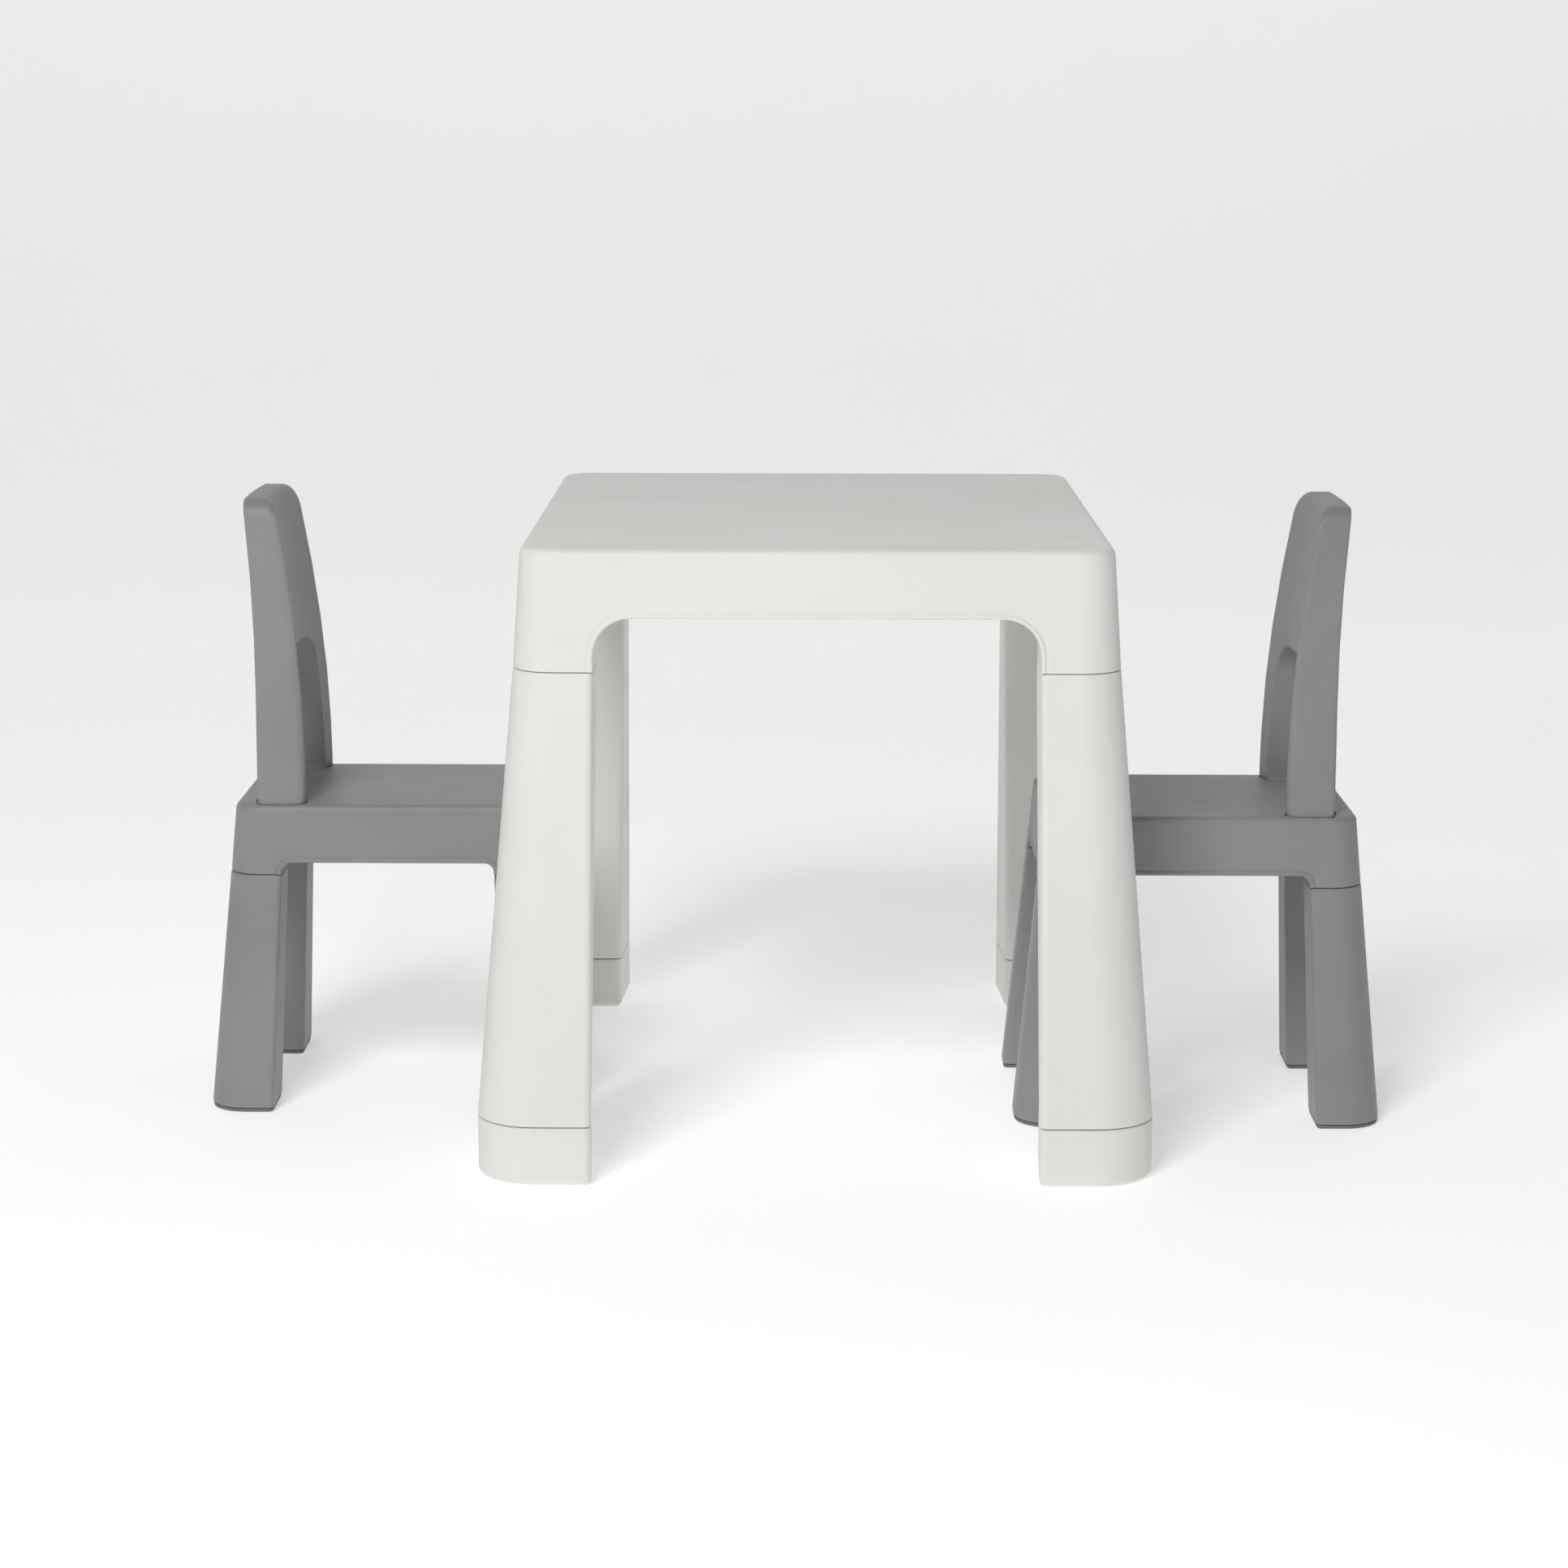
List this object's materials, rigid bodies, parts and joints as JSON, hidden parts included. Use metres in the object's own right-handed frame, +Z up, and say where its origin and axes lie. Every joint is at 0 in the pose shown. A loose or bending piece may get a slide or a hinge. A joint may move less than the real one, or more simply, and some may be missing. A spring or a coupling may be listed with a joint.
{
  "type": "kids table and chairs",
  "caption": "Low moulded play table with matching small chairs; legs, foot extensions and backrests plug in and pull off, and the chairs slide in and out.",
  "frame": {"origin": "on the floor under the middle of the whole set", "axes": "+X from the left chair to the right chair, +Y to the far side of the table, +Z up"},
  "size_m": [0.985, 0.6628, 0.512],
  "materials": {
    "table_white": "fine moulded grain",
    "chair_grey": "fine moulded grain",
    "pad_rubber": "matte"
  },
  "bodies": {
    "feet": {"foot_extension_rear_right": "table_white", "foot_extension_rear_left": "table_white", "foot_extension_front_left": "table_white", "foot_extension_front_right": "table_white"},
    "legs": {"table_leg_rear_right": "table_white", "table_leg_rear_left": "table_white", "table_leg_front_left": "table_white", "table_leg_front_right": "table_white"},
    "top": {"tabletop": "table_white"},
    "left_chair": {"left_chair_seat": "chair_grey", "left_chair_leg_rear_right": "chair_grey", "left_chair_leg_rear_left": "chair_grey", "left_chair_leg_front_left": "chair_grey", "left_chair_leg_front_right": "chair_grey", "left_chair_pad_rear_right": "pad_rubber", "left_chair_pad_rear_left": "pad_rubber", "left_chair_pad_front_left": "pad_rubber", "left_chair_pad_front_right": "pad_rubber"},
    "left_backrest": {"left_chair_backrest": "chair_grey"},
    "right_chair": {"right_chair_seat": "chair_grey", "right_chair_leg_rear_right": "chair_grey", "right_chair_leg_rear_left": "chair_grey", "right_chair_leg_front_left": "chair_grey", "right_chair_leg_front_right": "chair_grey", "right_chair_pad_rear_right": "pad_rubber", "right_chair_pad_rear_left": "pad_rubber", "right_chair_pad_front_left": "pad_rubber", "right_chair_pad_front_right": "pad_rubber"},
    "right_backrest": {"right_chair_backrest": "chair_grey"}
  },
  "joints": [
    {"name": "legs_lift", "type": "slide", "parent": "feet", "child": "legs", "axis": [0, 0, 1], "range_m": [0, 0.04]},
    {"name": "top_lift", "type": "slide", "parent": "legs", "child": "top", "axis": [0, 0, 1], "range_m": [0, 0.045]},
    {"name": "left_chair_slide", "type": "slide", "parent": "feet", "child": "left_chair", "axis": [-1, 0, 0], "range_m": [-0.17, 0.3]},
    {"name": "right_chair_slide", "type": "slide", "parent": "feet", "child": "right_chair", "axis": [1, 0, 0], "range_m": [-0.13, 0.3]},
    {"name": "left_backrest_lift", "type": "slide", "parent": "left_chair", "child": "left_backrest", "axis": [0, 0, 1], "range_m": [0, 0.03]},
    {"name": "right_backrest_lift", "type": "slide", "parent": "right_chair", "child": "right_backrest", "axis": [0, 0, 1], "range_m": [0, 0.03]}
  ]
}
